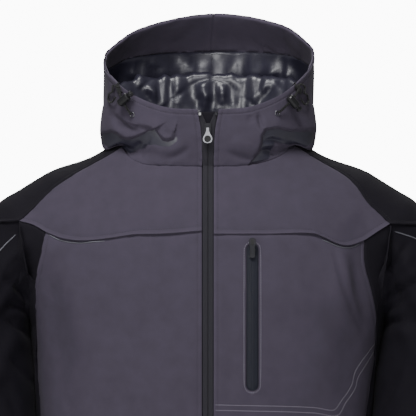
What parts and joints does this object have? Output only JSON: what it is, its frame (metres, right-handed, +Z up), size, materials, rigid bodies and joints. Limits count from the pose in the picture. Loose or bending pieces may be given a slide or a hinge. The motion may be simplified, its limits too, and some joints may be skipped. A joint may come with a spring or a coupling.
{
  "type": "hooded softshell jacket",
  "caption": "Hooded softshell jacket in grey and black, in its hollow worn shape, with a quilted hood lining and a zipped chest pocket.",
  "frame": {"origin": "middle of the neck hole at side-neck height, where the wearer's shoulders hold the jacket", "axes": "+Z up, front of the jacket towards -Y, +X towards the wearer's left"},
  "size_m": [0.6972, 0.3324, 0.8958],
  "materials": {
    "shell_grey": "matte softshell weave",
    "shell_black": "matte softshell weave",
    "lining_satin": "satin",
    "zip_tape": "matte woven tape",
    "pocket_tape": "matte woven tape",
    "cord_black": "braided elastic",
    "reflective": "silver reflective film",
    "silver": "bright plated",
    "insert_black": "satin",
    "lock_plastic": "satin",
    "stop_white": "gloss"
  },
  "bodies": {
    "root": {"front_left": "shell_grey", "front_right": "shell_grey", "yoke_left": "shell_grey", "yoke_right": "shell_grey", "back": "shell_grey", "hood_left": "shell_grey", "hood_right": "shell_grey", "hood_facing": "shell_grey", "shoulder_left": "shell_black", "shoulder_right": "shell_black", "side_left": "shell_black", "side_right": "shell_black", "sleeve_left": "shell_black", "sleeve_right": "shell_black", "storm_flap": "shell_black", "tab_left": "shell_black", "tab_right": "shell_black", "hood_lining": "lining_satin", "zip_tape_left": "zip_tape", "zip_tape_right": "zip_tape", "pocket_tape": "pocket_tape", "top_stop_left": "stop_white", "top_stop_right": "stop_white", "zip_slider": "silver", "pocket_slider": "silver", "eyelet_left": "silver", "eyelet_right": "silver", "cord_left": "cord_black", "cord_right": "cord_black", "lock_left": "lock_plastic", "lock_right": "lock_plastic", "piping_front_left": "reflective", "piping_front_right": "reflective", "piping_sleeve_left": "reflective", "piping_sleeve_right": "reflective"},
    "zip_pull_body": {"zip_pull": "silver", "zip_pull_insert": "insert_black"},
    "pocket_pull_body": {"pocket_pull": "silver", "pocket_pull_insert": "insert_black"},
    "plunger_left_body": {"plunger_left": "lock_plastic"},
    "plunger_right_body": {"plunger_right": "lock_plastic"}
  },
  "joints": [
    {"name": "zip_pull_swing", "type": "hinge", "parent": "root", "child": "zip_pull_body", "pos_m": [-0.0005, -0.0975, 0.028], "axis": [1, 0, 0], "range_deg": [-170, 0]},
    {"name": "pocket_pull_swing", "type": "hinge", "parent": "root", "child": "pocket_pull_body", "pos_m": [0.0577, -0.13665, -0.133], "axis": [1, 0, 0], "range_deg": [0, 170]},
    {"name": "plunger_left_press", "type": "slide", "parent": "root", "child": "plunger_left_body", "axis": [-0.6797, 0.4407, -0.5863], "range_m": [0, 0.003], "stiffness_N_per_m": 100, "springref_m": -0.002},
    {"name": "plunger_right_press", "type": "slide", "parent": "root", "child": "plunger_right_body", "axis": [-0.615, -0.2796, 0.7373], "range_m": [0, 0.003], "stiffness_N_per_m": 100, "springref_m": -0.002}
  ]
}
